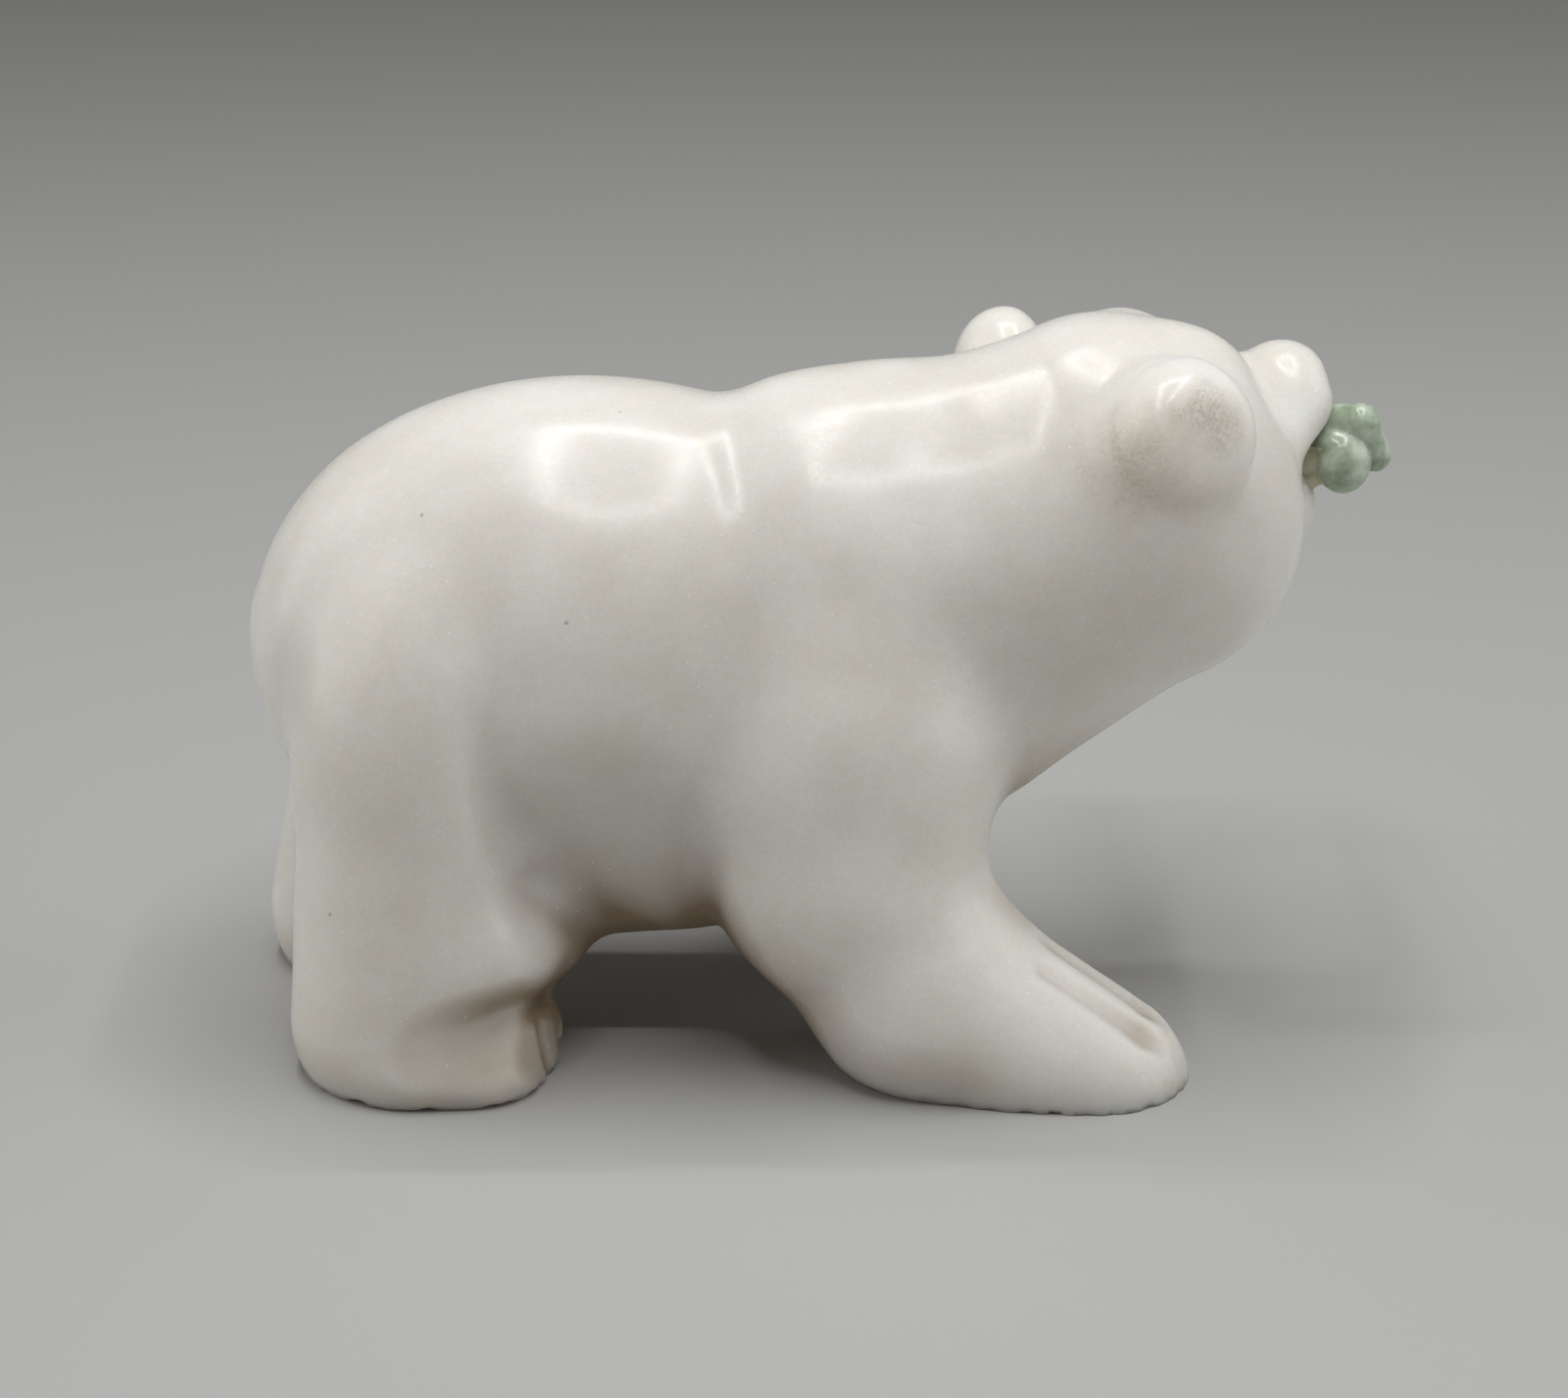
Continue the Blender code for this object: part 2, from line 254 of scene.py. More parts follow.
def fore_leg(side, elbow_x, wrist_x, toe_x, radius):
    shoulder = (3, side * 9, 30)
    elbow = (elbow_x, side * 11.5, 19)
    wrist = Vector((wrist_x, side * 13.5, 8.0))
    toes = Vector((toe_x, side * 15, -1.5))
    slope = degrees(atan2(toes.x - wrist.x, wrist.z - toes.z))
    forms = [
        egg(shoulder, (14, 13, 20), blend=6),
        limb(shoulder, elbow, 13.0, radius + 1.3, blend=5),
        limb(elbow, wrist, radius + 1.3, radius, blend=3),
        limb(wrist, toes, radius, radius - 0.6, blend=3),
        egg((-25.3, side * 25, 28), (18, 14, 34), turn=(0, 14, 0), blend=1.5, carved=True),
    ] + toe_lines(toes, [radius - 0.6] * 3, slope, run_up=(wrist - toes) * 0.6)
    return [Group(forms, blend=2.5, carved=False)]


def ear(side, centre, radii, back, root):
    return [
        egg((-3.6, side * 12.2, 1), root, blend=5, within=HEAD),
        egg(centre, radii, turn=(0, 0, -20 * side), back=back, blend=1.2, within=HEAD),
    ]


def head():
    forms = [
        egg((0, 0, 0), (13.2, 14, 12.2), blend=5, within=HEAD),
        limb((8, 0, 3.1), (17.6, 0, 4.0), 5.2, 4.4, width=1.12, blend=2, within=HEAD),
        egg((19.1, 0, 6.1), (3.4, 4.2, 2.9), blend=1, within=HEAD),
        limb((16.4, 0, -6.2), (14.2, 0, -11), 5.3, 5.3, width=1.2, blend=1.5, within=HEAD),
    ]
    for side in (-1, 1):
        forms += [
            egg((5, side * 6, -5.7), (9.5, 9, 10.8), blend=5, within=HEAD),
            egg((4.4, side * 5.6, 7.4), (5.0, 5.2, 5.0), blend=3, within=HEAD),
            limb((18.7, side * 3.6, 3.7), (12.8, side * 6.4, 0), 2.6, 2.8, blend=2.5, within=HEAD),
            egg((11.6, side * 4.7, 7.7), (1, 1, 1), blend=0.3, carved=True, within=HEAD),
            egg((23, side * 1.8, 5.2), (0.7, 0.7, 0.7), blend=0.3, carved=True, within=HEAD),
        ]
    forms += ear(-1, (-1.9, -14.6, 6.5), (4.8, 6.8, 6.9), back=8.5, root=(8, 6.5, 9))
    forms += ear(1, (-2.3, 15.0, 5.7), (3.9, 5.8, 5.7), back=5, root=(5, 5.5, 6))
    forms.append(egg((-3, -32.5, 14), (16, 13, 20), blend=2, carved=True, within=HEAD))
    return forms


def bear_forms():
    return (
        torso()
        + neck()
        + hind_leg(-1, 0)
        + hind_leg(1, -5.2)
        + fore_leg(-1, elbow_x=3.2, wrist_x=10.6, toe_x=25.8, radius=10.0)
        + fore_leg(1, elbow_x=2.5, wrist_x=6, toe_x=11.5, radius=9.6)
        + head()
    )


def fish_forms():
    """The fish lies along its own X with its tail at the start, in hundredths of its length."""
    own = Matrix.Identity(4)
    return [
        egg((62, 0, 0), (38, 12, 15), back=46, within=own),
        limb((16, 0, 0), (40, 0, 0), 9, 11, blend=5, within=own),
        limb((26, -3, 10), (11.5, -13, 12), 9, 9.5, blend=3, within=own),
        limb((11.5, -13, 12), (11.5, -23, -7), 9.5, 8.2, blend=1.0, within=own),
        egg((12.6, -4.5, -8), (12.6, 14.6, 16.4), blend=0.8, within=own),
    ]


def distance_to(form, points):
    """How far each point is outside a form, below zero inside it."""
    inverse = np.array(form.place.inverted())
    local = points @ inverse[:3, :3].T + inverse[:3, 3]
    if isinstance(form, Limb):
        along = np.clip(local[:, 0] / form.length, 0, 1)
        local[:, 0] -= along * form.length
        local[:, 1] /= form.width
        return np.linalg.norm(local, axis=1) - form.radii[0] - along * (form.radii[1] - form.radii[0])
    local[:, 0] *= np.where(local[:, 0] < 0, form.radii[0] / form.back, 1)
    reach = np.linalg.norm(local / form.radii, axis=1)
    steepness = np.linalg.norm(local / form.radii**2, axis=1)
    return reach * (reach - 1) / np.maximum(steepness, 1e-6)


def distance_to_stone(points, forms):
    """How far each point is outside the blended stone. Forms that are far from a point are skipped."""
    total = np.full(len(points), FAR)
    for form in forms:
        if isinstance(form, Group):
            near = np.arange(len(points))
            distance = distance_to_stone(points, form.forms)
        else:
            if isinstance(form, Limb):
                middle = form.place @ Vector((form.length / 2, 0, 0))
                reach = form.length / 2 + max(form.radii)
            else:
                middle = form.place.translation
                reach = max(*form.radii, form.back)
            gap = ((points - np.array(middle)) ** 2).sum(axis=1)
            near = np.flatnonzero(gap < (reach + NEARBY) ** 2)
            distance = distance_to(form, points[near])
        sign = -1 if form.carved else 1
        first = sign * total[near]
        overlap = np.maximum(form.blend - np.abs(first - distance), 0) / form.blend
        total[near] = sign * (np.minimum(first, distance) - overlap**2 * form.blend / 4)
    return total


def bear_field(points):
    """The bear's blended stone with the fish's bed cut out of the mouth."""
    place = np.array(FISH.inverted())
    fish = distance_to_stone(points @ place[:3, :3].T + place[:3, 3], fish_forms()) * FISH_SHARE
    return np.maximum(distance_to_stone(points, bear_forms()), GLUE_GAP - fish)


def fish_field(points):
    return distance_to_stone(points, fish_forms())


def glue_pocket():
    """The space between the lips and the tail, which the run of glue doesn't leave."""
    return egg((15, 12, -14), (12, 12, 15), turn=(20, 0, 0), within=Matrix.Identity(4))


def glue_field(points):
    """A skin on the fish inside the mouth, and a run of glue from the lips to the tail."""
    place = np.array(FISH)
    lips = distance_to_stone(points @ place[:3, :3].T + place[:3, 3], bear_forms()) / FISH_SHARE
    fish = distance_to_stone(points, fish_forms())
    skin = fish - np.interp(lips * FISH_SHARE, LIP_DISTANCES, GLUE_SKIN) / FISH_SHARE
    both = np.maximum(GLUE_RUN - np.abs(lips - fish), 0)
    run = np.minimum(lips, fish) - both**2 / (4 * GLUE_RUN) + GLUE_SUNK
    return np.minimum(skin, np.maximum(run, distance_to_stone(points, [glue_pocket()])))


def vertex_rows(mesh, name):
    """The vertices' positions (co) or normals (normal), one row for each."""
    values = np.empty(len(mesh.vertices) * 3)
    mesh.vertices.foreach_get(name, values)
    return values.reshape(-1, 3)


def settle(mesh, field, passes):
    """Moves each vertex along the slope of the field until the field is zero there."""
    points = vertex_rows(mesh, "co")
    for _ in range(passes):
        here = field(points)
        ahead = [field(points + SLOPE_STEP * axis) for axis in np.eye(3)]
        slope = np.stack([(there - here) / SLOPE_STEP for there in ahead], axis=1)
        steepness = np.maximum((slope**2).sum(axis=1), LEAST_SLOPE_SQUARED)
        points -= slope * (here / steepness)[:, None]
    mesh.vertices.foreach_set("co", points.ravel())
    mesh.update()


def single_forms(forms):
    """Every form on its own, also those in groups."""
    for form in forms:
        if isinstance(form, Group):
            yield from single_forms(form.forms)
        else:
            yield form


def rough_block(forms):
    """One mesh of overlapping balls that fills every added form."""
    shape = bmesh.new()
    bmesh.ops.create_icosphere(shape, subdivisions=3, radius=1)
    ball = bpy.data.meshes.new("ball")
    shape.to_mesh(ball)
    shape.free()
    rough = bmesh.new()
    for form in single_forms(forms):
        if form.carved:
            continue
        if isinstance(form, Limb):
            places = [
                form.place
                @ Matrix.Translation((share * form.length, 0, 0))
                @ Matrix.Scale(form.radii[0] + share * (form.radii[1] - form.radii[0]), 4)
                for share in np.linspace(0, 1, BALLS_IN_LIMB)
            ]
        else:
            places = [form.place @ Matrix.Diagonal((*form.radii, 1))]
        for place in places:
            lump = ball.copy()
            lump.transform(place)
            rough.from_mesh(lump)
            bpy.data.meshes.remove(lump)
    mesh = bpy.data.meshes.new("rough_block")
    rough.to_mesh(mesh)
    rough.free()
    return mesh


def evaluated(mesh, kind, **settings):
    """A copy of the mesh with one modifier applied."""
    blank = bpy.data.objects.new("blank", mesh)
    bpy.context.scene.collection.objects.link(blank)
    modifier = blank.modifiers.new(kind, kind)
    for name, value in settings.items():
        setattr(modifier, name, value)
    graph = bpy.context.evaluated_depsgraph_get()
    result = bpy.data.meshes.new_from_object(blank.evaluated_get(graph))
    bpy.data.objects.remove(blank)
    return result


def carved_mesh(forms, field, voxels):
    """The field's skin as one closed mesh, with small even faces."""
    mesh = rough_block(forms)
    for voxel in voxels:
        mesh = evaluated(mesh, "REMESH", mode="VOXEL", voxel_size=voxel)
        settle(mesh, field, passes=5)
    mesh = evaluated(mesh, "SUBSURF", levels=1, render_levels=1)
    settle(mesh, field, passes=2)
    return mesh


def cut_flat_soles(mesh):
    """Everything below the floor goes, and each sole is closed with one flat face."""
    shape = bmesh.new()
    shape.from_mesh(mesh)
    everything = shape.verts[:] + shape.edges[:] + shape.faces[:]
    cut = bmesh.ops.bisect_plane(shape, geom=everything, plane_no=(0, 0, -1), clear_outer=True)
    rims = [item for item in cut["geom_cut"] if isinstance(item, bmesh.types.BMEdge)]
    bmesh.ops.holes_fill(shape, edges=rims)
    shape.to_mesh(mesh)
    shape.free()


def waves(points, rng, shortest, longest, count=24):
    """A smooth uneven height from -1 to 1, summed from plane waves of these lengths."""
    directions = rng.normal(size=(count, 3))
    directions /= np.linalg.norm(directions, axis=1)[:, None]
    lengths = rng.uniform(shortest, longest, count)
    phases = rng.uniform(0, 2 * np.pi, count)
    return np.sin(points @ directions.T * (2 * np.pi / lengths) + phases).sum(axis=1) / count**0.5


def hand_worn(mesh):
    """Faint unevenness of a hand-ground surface, and a chipped rim round each sole."""
    rng = np.random.default_rng(WEAR_SEED)
    points = vertex_rows(mesh, "co")
    lift = RIPPLE * waves(points, rng, *RIPPLE_LENGTHS)
    rim = np.clip(1 - points[:, 2] / RIM_HEIGHT, 0, 1.2)
    chips = np.maximum(waves(points, rng, *CHIP_LENGTHS), 0)
    lift -= rim**2 * (RIM_WEAR + CHIP_DEPTH * chips)
    points += vertex_rows(mesh, "normal") * lift[:, None]
    mesh.vertices.foreach_set("co", points.ravel())
    mesh.update()


def mark_stains_and_shade(mesh):
    """Keeps on each vertex how deep it lies in each stain and in the patch of painted shade, with an uneven
    edge.
    """
    points = vertex_rows(mesh, "co")
    uneven = waves(points, np.random.default_rng(TINT_SEED), *TINT_EDGE_LENGTHS)
    for name, heart, reach, _, _ in STAINS_AND_SHADE:
        far = np.linalg.norm(points - np.array(BODY @ Vector(heart)), axis=1) / reach
        depth = np.clip(1.25 - far + TINT_EDGE * uneven, 0, 1)
        mesh.attributes.new(name, "FLOAT", "POINT").data.foreach_set("value", depth)


def mark_painted_shade(mesh):
    """Keeps on each vertex how much painted shade it gets: how much the stone or the floor closes in on it,
    from 0 in the open, and more on undersides.
    """
    points = vertex_rows(mesh, "co")
    normals = vertex_rows(mesh, "normal")
    closed = np.zeros(len(points))
    # Painted shade where the stone closes in, as in corners and creases.
    for reach in SHADE_REACHES:
        free = distance_to_stone(points + normals * reach, bear_forms()) / reach
        closed += (1 - np.clip(free, 0, 1)) / REACHES_FOR_FULL
    height = points[:, 2]
    low = 1.5 - height / SHADE_FADE
    closed *= np.clip(low, LEAST_SHADE, 1)
    # Painted shade near the floor.
    closed += FLOOR_SHADE_SHARE * np.clip(1 - height / FLOOR_HEIGHT, 0, 1)
    # Painted shade on undersides.
    downwards = np.clip(-normals[:, 2], 0, 1)
    closed += UNDERSIDE_SHADE_SHARE * downwards * np.clip(np.minimum(low, height / BELLY_HEIGHT), 0, 1)
    mesh.attributes.new("painted_shade", "FLOAT", "POINT").data.foreach_set("value", closed)


def linear(code):
    """An sRGB hex colour as linear red, green, blue."""
    channels = [int(code[i : i + 2], 16) / 255 for i in (1, 3, 5)]
    return [c / 12.92 if c <= 0.04045 else ((c + 0.055) / 1.055) ** 2.4 for c in channels]


def add_node(tree, kind, values=(), links=(), **settings):
    """Adds a node, sets its properties and its inputs, and links inputs to other nodes' outputs."""
    node = tree.nodes.new(kind)
    for name, value in settings.items():
        setattr(node, name, value)
    for name, value in dict(values).items():
        node.inputs[name].default_value = value
    for name, socket in dict(links).items():
        tree.links.new(socket, node.inputs[name])
    return node


def new_material(name):
    material = bpy.data.materials.new(name)
    material.use_nodes = True
    return material, material.node_tree, material.node_tree.nodes["Principled BSDF"]


def quartz_clouds_and_shade(tree, where, settings):
    """Clouds of tiny bubbles in the stone, one to two centimetres wide, and painted shade: hollows, places
    near the floor and undersides are painted a darker, warmer tint.
    """
    clouds = add_node(
        tree, "ShaderNodeTexNoise", {"Scale": 1 / QUARTZ_CLOUD, "Detail": 4, "Roughness": 0.55},
        {"Vector": where},
    )
    cloudy = add_node(
        tree, "ShaderNodeMapRange", {"From Min": 0.35, "From Max": 0.68}, {"Value": clouds.outputs["Fac"]}
    )
    colour = add_node(
        tree, "ShaderNodeMix", {"A": (*settings.quartz_deep, 1), "B": (*settings.quartz_milk, 1)},
        {"Factor": cloudy.outputs["Result"]}, data_type="RGBA",
    )
    # The painted shade, darker and warmer in hollows, near the floor and on undersides.
    painted_shade = add_node(tree, "ShaderNodeAttribute", attribute_name="painted_shade")
    deep = add_node(
        tree, "ShaderNodeMapRange", {"From Min": 0.14, "From Max": 0.7, "To Max": 1.0},
        {"Value": painted_shade.outputs["Fac"]},
    )
    return add_node(
        tree, "ShaderNodeMix", {"B": (*settings.quartz_painted_shade, 1)},
        {"Factor": deep.outputs["Result"], "A": colour.outputs["Result"]}, data_type="RGBA",
    )


def with_grain(tree, colour, grain):
    """Sugary grain: each grain is a little lighter or darker than the next."""
    tone = add_node(
        tree, "ShaderNodeMapRange", {"To Min": 0.97, "To Max": 1.02}, {"Value": grain.outputs["Red"]}
    )
    return add_node(
        tree, "ShaderNodeMix", {"Factor": 1.0},
        {"A": colour.outputs["Result"], "B": tone.outputs["Result"]}, data_type="RGBA", blend_type="MULTIPLY",
    )


def with_painted_glints(tree, colour, where):
    """Painted glints: white specks in the colour for cleavage faces that catch the light, a fifth of a
    millimetre wide, about three millimetres apart.
    """
    faces = add_node(tree, "ShaderNodeTexVoronoi", {"Scale": 1 / PAINTED_GLINT_CELL}, {"Vector": where})
    painted_glint = add_node(
        tree, "ShaderNodeMapRange", {"From Min": 0.09, "From Max": 0.06, "To Max": 0.55},
        {"Value": faces.outputs["Distance"]},
    )
    # Painted glints: white mixed into the colour.
    return add_node(
        tree, "ShaderNodeMix", {"B": (1, 1, 1, 1)},
        {"Factor": painted_glint.outputs["Result"], "A": colour.outputs["Result"]}, data_type="RGBA",
    )


def with_stains_and_shade(tree, colour, grain):
    """Grainy grey where the stone is stained, grainy brown painted shade where the ear springs from the neck,
    and yellow at the tip of the paw.
    """
    for name, _, _, tint, most in STAINS_AND_SHADE:
        stain_and_shade = add_node(tree, "ShaderNodeAttribute", attribute_name=name)
        depth = add_node(
            tree, "ShaderNodeMapRange", {"From Min": 0.1, "From Max": 1.1, "To Max": most},
            {"Value": stain_and_shade.outputs["Fac"]},
        )
        speckled = add_node(
            tree, "ShaderNodeMath", links={0: depth.outputs["Result"], 1: grain.outputs["Green"]},
            operation="MULTIPLY",
        )
        colour = add_node(
            tree, "ShaderNodeMix", {"B": (*linear(tint), 1)},
            {"Factor": speckled.outputs["Value"], "A": colour.outputs["Result"]}, data_type="RGBA",
        )
    return colour


def with_pits(tree, colour, where, settings):
    """Dusty pits up to half a millimetre wide, a few on each flank."""
    pits = add_node(tree, "ShaderNodeTexVoronoi", {"Scale": 1 / PIT_CELL}, {"Vector": where})
    pitted = add_node(
        tree, "ShaderNodeMapRange", {"From Min": 0.03, "From Max": 0.012, "To Max": 0.5},
        {"Value": pits.outputs["Distance"]},
    )
    return add_node(
        tree, "ShaderNodeMix", {"B": (*settings.quartz_pit, 1)},
        {"Factor": pitted.outputs["Result"], "A": colour.outputs["Result"]}, data_type="RGBA",
    )


def milky_quartz(settings):
    """Massive milky quartz, ground and waxed: cloudy white, light goes several millimetres in."""
    material, tree, shader = new_material("milky_quartz_waxed")
    where = add_node(tree, "ShaderNodeTexCoord").outputs["Object"]
    grains = add_node(tree, "ShaderNodeTexVoronoi", {"Scale": 1 / settings.grain}, {"Vector": where})
    grain = add_node(tree, "ShaderNodeSeparateColor", links={"Color": grains.outputs["Color"]})

    colour = quartz_clouds_and_shade(tree, where, settings)
    colour = with_grain(tree, colour, grain)
    colour = with_painted_glints(tree, colour, where)
    colour = with_stains_and_shade(tree, colour, grain)
    colour = with_pits(tree, colour, where, settings)
    tree.links.new(colour.outputs["Result"], shader.inputs["Base Color"])

    # One grain in three takes a polish and the others stay duller, which breaks up the reflections.
    shine = add_node(
        tree, "ShaderNodeMapRange", {"From Min": 0.55, "From Max": 0.8, "To Min": 0.27, "To Max": 0.2},
        {"Value": grain.outputs["Blue"]},
    )
    tree.links.new(shine.outputs["Result"], shader.inputs["Roughness"])
    fine = add_node(
        tree, "ShaderNodeTexNoise", {"Scale": 1 / settings.grain, "Detail": 3, "Roughness": 0.6},
        {"Vector": where},
    )
    wax = add_node(
        tree, "ShaderNodeBump", {"Strength": 0.03, "Distance": 0.00002}, {"Height": fine.outputs["Fac"]}
    )
    tree.links.new(wax.outputs["Normal"], shader.inputs["Normal"])
    shader.inputs["IOR"].default_value = 1.544
    shader.inputs["Specular IOR Level"].default_value = 0.32
    shader.inputs["Subsurface Weight"].default_value = 0.85
    shader.inputs["Subsurface Radius"].default_value = (1.0, 0.85, 0.65)
    shader.inputs["Subsurface Scale"].default_value = 0.007
    return material


def green_stone(settings):
    """Green serpentine, tumbled to a gloss: cloudy pale and dark green."""
    material, tree, shader = new_material("green_serpentine_polished")
    where = add_node(tree, "ShaderNodeTexCoord").outputs["Object"]
    clouds = add_node(
        tree, "ShaderNodeTexNoise", {"Scale": 1 / GREEN_CLOUD, "Detail": 5, "Roughness": 0.6},
        {"Vector": where},
    )
    pale = add_node(
        tree, "ShaderNodeMapRange", {"From Min": 0.35, "From Max": 0.65}, {"Value": clouds.outputs["Fac"]}
    )
    colour = add_node(
        tree, "ShaderNodeMix", {"A": (*settings.green_dark, 1), "B": (*settings.green_pale, 1)},
        {"Factor": pale.outputs["Result"]}, data_type="RGBA",
    )
    tree.links.new(colour.outputs["Result"], shader.inputs["Base Color"])
    bump = add_node(
        tree, "ShaderNodeBump", {"Strength": 0.3, "Distance": 0.00005}, {"Height": clouds.outputs["Fac"]}
    )
    tree.links.new(bump.outputs["Normal"], shader.inputs["Normal"])
    shader.inputs["Roughness"].default_value = 0.22
    shader.inputs["IOR"].default_value = 1.56
    shader.inputs["Subsurface Weight"].default_value = 0.3
    shader.inputs["Subsurface Radius"].default_value = (0.6, 1.0, 0.5)
    shader.inputs["Subsurface Scale"].default_value = 0.001
    return material


def old_glue(settings):
    """Clear glue gone yellow, with a smooth skin."""
    material, tree, shader = new_material("yellowed_glue")
    where = add_node(tree, "ShaderNodeTexCoord").outputs["Object"]
    clouds = add_node(tree, "ShaderNodeTexNoise", {"Scale": 1 / GLUE_CLOUD, "Detail": 3}, {"Vector": where})
    colour = add_node(
        tree, "ShaderNodeMix", {"A": (*settings.glue_dark, 1), "B": (*settings.glue_pale, 1)},
        {"Factor": clouds.outputs["Fac"]}, data_type="RGBA",
    )
    tree.links.new(colour.outputs["Result"], shader.inputs["Base Color"])
    shader.inputs["Roughness"].default_value = 0.3
    shader.inputs["IOR"].default_value = 1.5
    shader.inputs["Subsurface Weight"].default_value = 0.4
    shader.inputs["Subsurface Radius"].default_value = (1.0, 0.7, 0.3)
    shader.inputs["Subsurface Scale"].default_value = 0.001
    return material


def stage_card(settings):
    """Matt painted card: a plain pale surface with the faintest tooth."""
    material, tree, shader = new_material("matt_pale_card")
    where = add_node(tree, "ShaderNodeTexCoord").outputs["Object"]
    tooth = add_node(tree, "ShaderNodeTexNoise", {"Scale": 1 / CARD_TOOTH, "Detail": 2}, {"Vector": where})
    bump = add_node(
        tree, "ShaderNodeBump", {"Strength": 0.1, "Distance": 0.00005}, {"Height": tooth.outputs["Fac"]}
    )
    tree.links.new(bump.outputs["Normal"], shader.inputs["Normal"])
    shader.inputs["Base Color"].default_value = (*settings.floor, 1)
    shader.inputs["Roughness"].default_value = 0.7
    return material


def place_piece(name, mesh, material, node):
    """Puts a finished mesh on the bear's body, in place of a solid where one is named."""
    mesh.shade_smooth()
    mesh.set_sharp_from_angle(angle=CREASE_ANGLE)
    mesh.materials.append(material)
    piece = bpy.data.objects.new(name, mesh)
    bpy.context.scene.collection.objects.link(piece)
    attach(piece, "root")
    if node:
        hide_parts(node)
    return piece


def lay_floor(settings):
    mesh = bpy.data.meshes.new("floor")
    shape = bmesh.new()
    bmesh.ops.create_grid(shape, x_segments=1, y_segments=1, size=FLOOR_HALF)
    shape.to_mesh(mesh)
    shape.free()
    mesh.materials.append(stage_card(settings))
    floor = bpy.data.objects.new("floor", mesh)
    bpy.context.scene.collection.objects.link(floor)
    floor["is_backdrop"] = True


def add_lamp(name, size, power, place, turn=(0, 0, 0)):
    """An area lamp that shines down until it is turned."""
    lamp = bpy.data.lights.new(name, "AREA")
    lamp.shape = "RECTANGLE"
    lamp.size, lamp.size_y = size
    lamp.energy = power
    holder = bpy.data.objects.new(name, lamp)
    holder.location = place
    holder.rotation_euler = turn
    bpy.context.scene.collection.objects.link(holder)


def light_stage(settings):
    """A soft box on each side, four strips in a ring overhead, and a faint even room light."""
    for name, side, power in (("box_left", -1, settings.left_power), ("box_right", 1, settings.right_power)):
        place = (side * BOX_PLACE[0], *BOX_PLACE[1:])
        turn = (BOX_TILT[0], side * BOX_TILT[1], 0)
        add_lamp(name, (BOX_SIZE, BOX_SIZE), power, place, turn)

    across = RING_RIGHT - RING_LEFT
    deep = RING_BACK - RING_FRONT
    middle_x = (RING_LEFT + RING_RIGHT) / 2
    middle_y = (RING_FRONT + RING_BACK) / 2
    strips = (
        ("ring_front", middle_x, RING_FRONT, across, STRIP_WIDTH),
        ("ring_back", middle_x, RING_BACK, across, STRIP_WIDTH),
        ("ring_left", RING_LEFT, middle_y, STRIP_WIDTH, deep),
        ("ring_right", RING_RIGHT, middle_y, STRIP_WIDTH, deep),
    )
    for name, x, y, width, depth in strips:
        power = settings.ring_power * max(width, depth) / (2 * (across + deep))
        add_lamp(name, (width, depth), power, (x, y, settings.ring_height))

    world = bpy.data.worlds.new("room")
    world.use_nodes = True
    background = world.node_tree.nodes["Background"]
    background.inputs["Color"].default_value = (1, 1, 1, 1)
    background.inputs["Strength"].default_value = settings.fill
    bpy.context.scene.world = world


def aim_camera(settings):
    scene = bpy.context.scene
    lens = bpy.data.cameras.new("camera")
    lens.lens = settings.lens
    camera = bpy.data.objects.new("camera", lens)
    back = Vector((0, -cos(settings.elevation), sin(settings.elevation)))
    camera.location = Vector(AIM) + back * settings.distance
    camera.rotation_euler = (radians(90) - settings.elevation, 0, 0)
    scene.collection.objects.link(camera)
    scene.camera = camera
    scene.view_settings.view_transform = "Standard"


class CarvingSettings(bpy.types.PropertyGroup):
    """Colours and grain of the two stones and the glue."""

    grain: bpy.props.FloatProperty(
        name="Grain", description="Width of one grain of the quartz", default=0.00026, min=0.0001,
        unit="LENGTH", precision=5,
    )
    quartz_milk: bpy.props.FloatVectorProperty(
        name="Milk", description="Quartz where it is cloudiest", subtype="COLOR", size=3, min=0, max=1,
        default=linear("#EFEDE8"),
    )
    quartz_deep: bpy.props.FloatVectorProperty(
        name="Deep", description="Quartz where it is clearer", subtype="COLOR", size=3, min=0, max=1,
        default=linear("#E2DED5"),
    )
    # Painted shade: the tint painted into hollows, near the floor and on undersides.
    quartz_painted_shade: bpy.props.FloatVectorProperty(
        name="Hollows", description="Quartz in the hollows", subtype="COLOR", size=3, min=0, max=1,
        default=linear("#A08C74"),
    )
    quartz_pit: bpy.props.FloatVectorProperty(
        name="Pits", description="Dust in the pits", subtype="COLOR", size=3, min=0, max=1,
        default=linear("#6E655C"),
    )
    green_pale: bpy.props.FloatVectorProperty(
        name="Pale green", description="Pale clouds of the fish", subtype="COLOR", size=3, min=0, max=1,
        default=linear("#D2DCCC"),
    )
    green_dark: bpy.props.FloatVectorProperty(
        name="Dark green", description="Dark clouds of the fish", subtype="COLOR", size=3, min=0, max=1,
        default=linear("#94A78B"),
    )
    glue_pale: bpy.props.FloatVectorProperty(
        name="Pale glue", description="Thin parts of the glue", subtype="COLOR", size=3, min=0, max=1,
        default=linear("#D9D8C2"),
    )
    glue_dark: bpy.props.FloatVectorProperty(
        name="Dark glue", description="Thick parts of the glue", subtype="COLOR", size=3, min=0, max=1,
        default=linear("#B4AF8C"),
    )


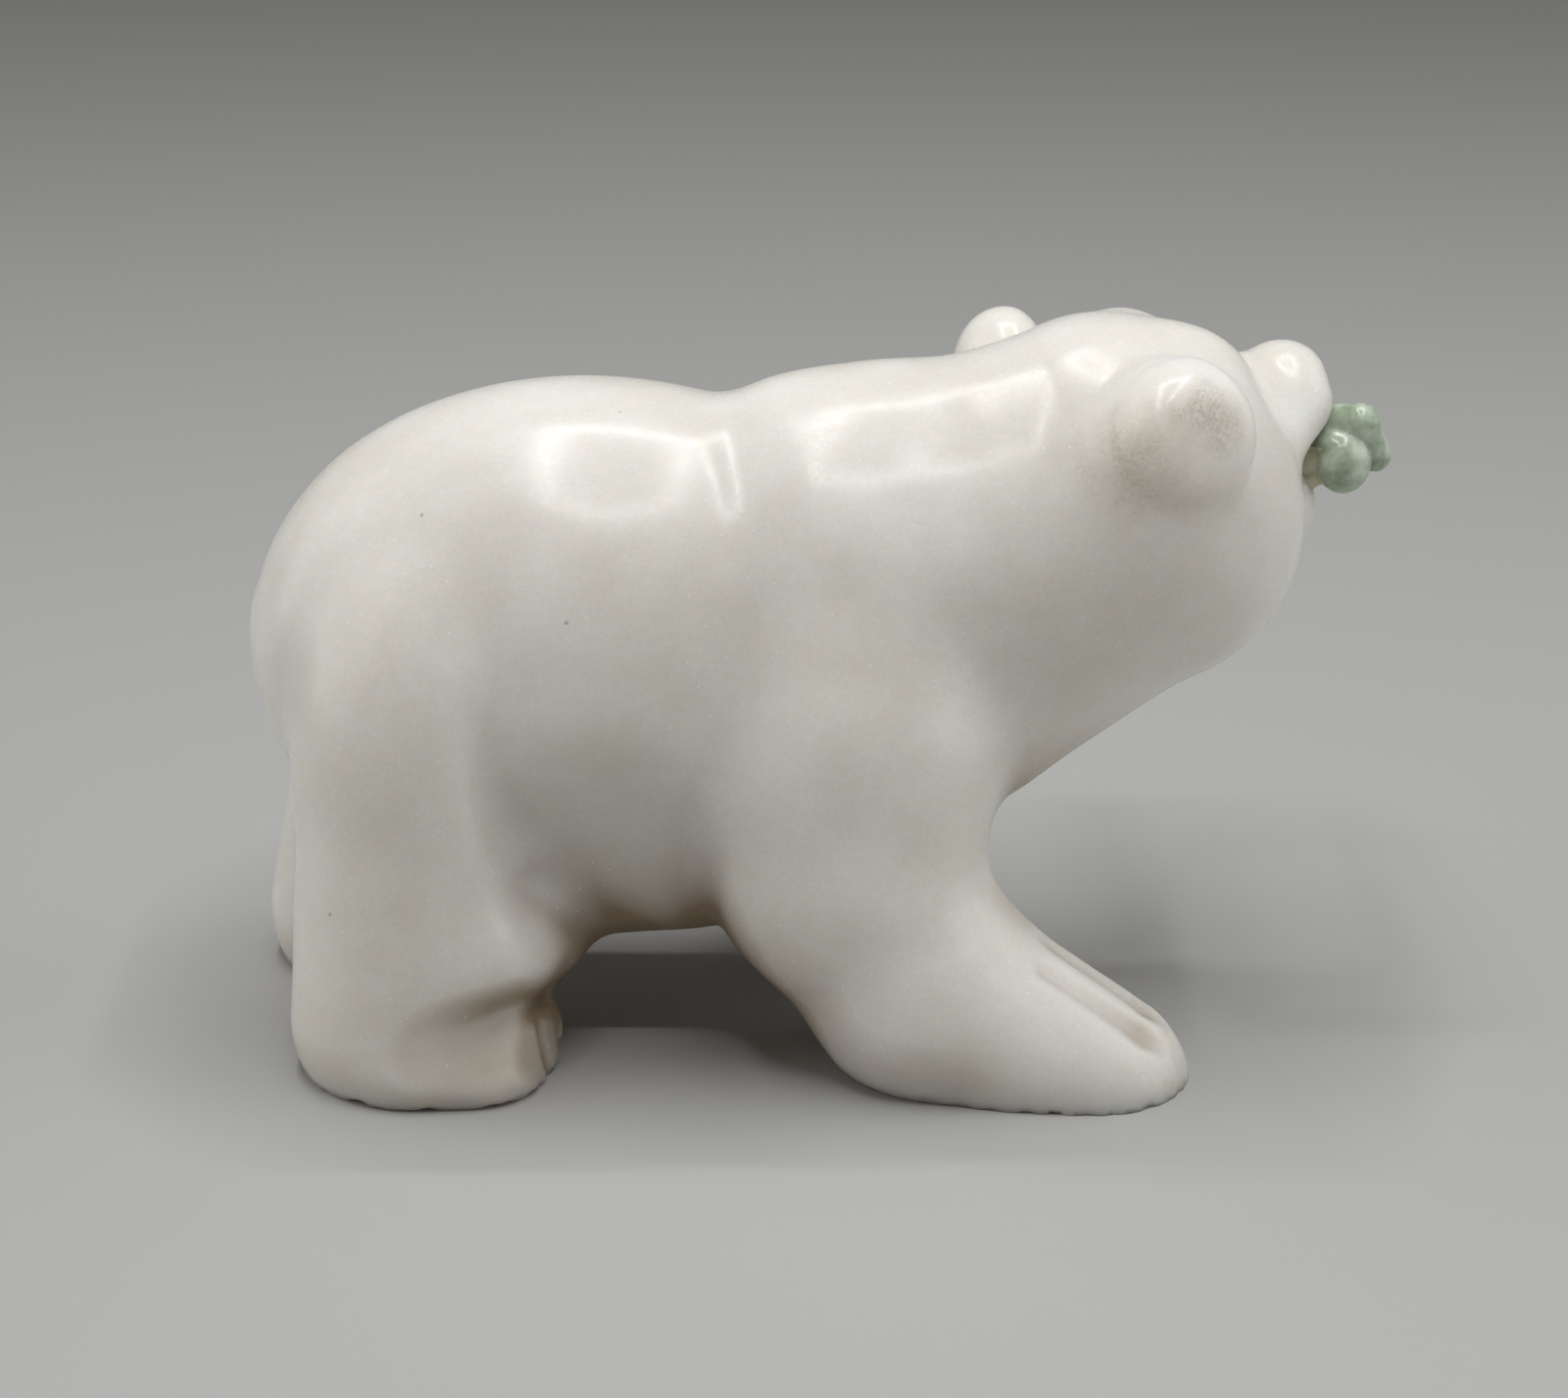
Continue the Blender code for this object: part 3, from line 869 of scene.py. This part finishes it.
class StageSettings(bpy.types.PropertyGroup):
    """The floor, the lamps and the camera."""

    floor: bpy.props.FloatVectorProperty(
        name="Floor", description="Colour of the floor", subtype="COLOR", size=3, min=0, max=1,
        default=linear("#B3B3B1"),
    )
    ring_height: bpy.props.FloatProperty(
        name="Ring height", description="Height of the ring of lamps over the floor", default=0.5, min=0.1,
        unit="LENGTH",
    )
    ring_power: bpy.props.FloatProperty(
        name="Ring power", description="Power of the whole ring, in watts", default=2.0, min=0,
    )
    left_power: bpy.props.FloatProperty(
        name="Left box", description="Power of the soft box on the left, in watts", default=3.0, min=0,
    )
    right_power: bpy.props.FloatProperty(
        name="Right box", description="Power of the soft box on the right, in watts", default=2.8, min=0,
    )
    fill: bpy.props.FloatProperty(
        name="Fill", description="Brightness of the room around", default=0.12, min=0,
    )
    lens: bpy.props.FloatProperty(
        name="Lens", description="Focal length in millimetres", default=84.0, min=10,
    )
    distance: bpy.props.FloatProperty(
        name="Camera distance", description="From the camera to the carving", default=0.34, min=0.1,
        unit="LENGTH",
    )
    elevation: bpy.props.FloatProperty(
        name="Camera elevation", description="How far the camera looks down", default=radians(20),
        unit="ROTATION",
    )


class CARVING_OT_bear(bpy.types.Operator):
    """Carve the bear from one block of milky quartz"""

    bl_idname = "carving.bear"
    bl_label = "Quartz Bear"

    def execute(self, context):
        mesh = carved_mesh(bear_forms(), bear_field, BODY_VOXELS)
        hand_worn(mesh)
        cut_flat_soles(mesh)
        # Painted shade: how much darker and warmer each place is painted.
        mark_painted_shade(mesh)
        mark_stains_and_shade(mesh)
        mesh.transform(Matrix.Scale(MM, 4))
        place_piece("bear", mesh, milky_quartz(context.scene.carving), "polar_bear")
        return {"FINISHED"}


class CARVING_OT_fish(bpy.types.Operator):
    """Carve the fish that lies across the bear's mouth"""

    bl_idname = "carving.fish"
    bl_label = "Stone Fish"

    def execute(self, context):
        mesh = carved_mesh(fish_forms(), fish_field, FISH_VOXELS)
        mesh.transform(Matrix.Scale(MM, 4) @ FISH)
        place_piece("fish", mesh, green_stone(context.scene.carving), "jade_fish")
        return {"FINISHED"}


class CARVING_OT_glue(bpy.types.Operator):
    """Run the glue round the fish where it meets the lips"""

    bl_idname = "carving.glue"
    bl_label = "Glue"

    def execute(self, context):
        mesh = carved_mesh([*fish_forms(), glue_pocket()], glue_field, FISH_VOXELS)
        mesh.transform(Matrix.Scale(MM, 4) @ FISH)
        place_piece("glue", mesh, old_glue(context.scene.carving), None)
        return {"FINISHED"}


class CARVING_OT_stage(bpy.types.Operator):
    """Set the floor, the ring of lamps, the room's light and the camera"""

    bl_idname = "carving.stage"
    bl_label = "Stage"

    def execute(self, context):
        settings = context.scene.carving_stage
        lay_floor(settings)
        light_stage(settings)
        aim_camera(settings)
        return {"FINISHED"}


class CARVING_PT_panel(bpy.types.Panel):
    """Sizes, colours and steps of the carving"""

    bl_idname = "CARVING_PT_panel"
    bl_label = "Carving"
    bl_space_type = "VIEW_3D"
    bl_region_type = "UI"
    bl_category = "Carving"

    def draw(self, context):
        for settings in (context.scene.carving, context.scene.carving_stage):
            box = self.layout.box()
            for name in settings.__annotations__:
                box.prop(settings, name)
        for operator in OPERATORS:
            self.layout.operator(operator.bl_idname)


OPERATORS = (CARVING_OT_bear, CARVING_OT_fish, CARVING_OT_glue, CARVING_OT_stage)
CLASSES = (CarvingSettings, StageSettings, *OPERATORS, CARVING_PT_panel)


def register():
    for cls in CLASSES:
        bpy.utils.register_class(cls)
    bpy.types.Scene.carving = bpy.props.PointerProperty(type=CarvingSettings)
    bpy.types.Scene.carving_stage = bpy.props.PointerProperty(type=StageSettings)


def unregister():
    del bpy.types.Scene.carving_stage
    del bpy.types.Scene.carving
    for cls in reversed(CLASSES):
        bpy.utils.unregister_class(cls)


def main():
    register()
    bpy.ops.carving.bear()
    bpy.ops.carving.fish()
    bpy.ops.carving.glue()
    bpy.ops.carving.stage()
    boxes = {"cad": CAD_BOX, "visual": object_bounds()}
    {name: [list(corner) for corner in box] for name, box in boxes.items()}


if __name__ == "__main__":
    main()
